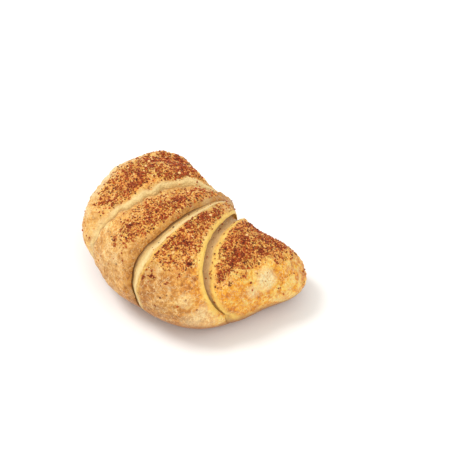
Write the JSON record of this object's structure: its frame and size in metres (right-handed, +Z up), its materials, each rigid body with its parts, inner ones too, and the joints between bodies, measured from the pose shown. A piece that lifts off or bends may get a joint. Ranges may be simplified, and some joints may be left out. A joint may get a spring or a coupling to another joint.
{
  "type": "mini croissant",
  "caption": "Small croissant baked whole: a fat crescent roll of flaky dough with overlapping wraps, pale bands at the folds and spice crumbs on its crown.",
  "frame": {"origin": "on the surface it rests on, under the middle of its bounding box", "axes": "+Z up, X along the crescent from tip to tip, -Y towards the round outer side, +Y towards the bay between the tips"},
  "size_m": [0.0907, 0.0744, 0.0415],
  "materials": {
    "crust": "baked golden crust with a thin egg wash, pale bare dough at the folds",
    "crumbs": "coarse dry spice crumbs, red-brown to dark brown"
  },
  "bodies": {
    "root": {"croissant": "crust"}
  },
  "joints": []
}
